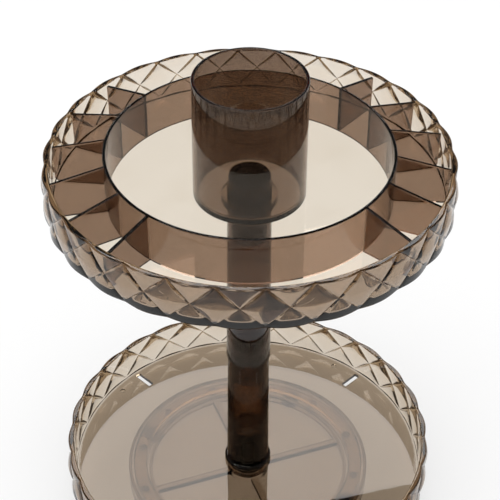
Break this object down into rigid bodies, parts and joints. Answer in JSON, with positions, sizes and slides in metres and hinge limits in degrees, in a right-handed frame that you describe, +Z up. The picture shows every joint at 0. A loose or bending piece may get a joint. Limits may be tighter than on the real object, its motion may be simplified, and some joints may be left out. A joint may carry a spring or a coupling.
{
  "type": "rotating make-up organizer",
  "caption": "Two-tier rotating make-up organizer in smoked clear plastic: diamond-faceted round trays on a column, brush cup on top, ball-bearing turntable base.",
  "frame": {"origin": "centre of the base, on the surface that the feet stand on", "axes": "+Z up along the column; +X and -X towards the two groups of small pockets, -Y and +Y towards the two wide compartments of the top tray at rest"},
  "size_m": [0.2458, 0.2458, 0.3242],
  "materials": {
    "smoked_tray": "clear smoke-brown moulding, polished",
    "smoked_cup": "clear smoke-brown moulding, polished",
    "smoked_column": "dark smoke-brown moulding, polished",
    "smoked_base": "clear smoke-brown moulding, polished",
    "foot_rubber": "soft pad",
    "bearing_steel": "polished balls",
    "screw_steel": "zinc plated",
    "acetal": "natural acetal"
  },
  "bodies": {
    "base": {"base_plate": "smoked_base", "foot_1": "foot_rubber", "foot_2": "foot_rubber", "foot_3": "foot_rubber", "foot_4": "foot_rubber"},
    "bearing": {"ball_cage": "acetal", "bearing_balls": "bearing_steel"},
    "lower_tier": {"bottom_tray": "smoked_tray", "upper_race": "smoked_base", "pivot_screw": "screw_steel", "pivot_washer": "screw_steel", "column_socket": "smoked_column", "lower_tube": "smoked_column", "tube_coupler": "smoked_column", "upper_tube": "smoked_column", "column_journal": "smoked_column", "thrust_washer": "acetal", "column_cap": "smoked_column"},
    "upper_tier": {"top_tray": "smoked_tray", "inner_ring": "smoked_tray", "divider_01": "smoked_tray", "divider_02": "smoked_tray", "divider_03": "smoked_tray", "divider_04": "smoked_tray", "divider_05": "smoked_tray", "divider_06": "smoked_tray", "divider_07": "smoked_tray", "divider_08": "smoked_tray", "divider_09": "smoked_tray", "divider_10": "smoked_tray", "divider_11": "smoked_tray", "divider_12": "smoked_tray", "brush_cup": "smoked_cup"}
  },
  "joints": [
    {"name": "turntable_spin", "type": "hinge", "parent": "base", "child": "lower_tier", "pos_m": [0, 0, 0.0075], "axis": [0, 0, 1], "continuous": true},
    {"name": "bearing_spin", "type": "hinge", "parent": "base", "child": "bearing", "pos_m": [0, 0, 0.0075], "axis": [0, 0, 1], "continuous": true},
    {"name": "upper_tier_spin", "type": "hinge", "parent": "lower_tier", "child": "upper_tier", "pos_m": [0, 0, 0.2374], "axis": [0, 0, 1], "continuous": true}
  ],
  "couplings": [
    {"joint": "bearing_spin", "follows": "turntable_spin", "ratio": 0.5}
  ]
}
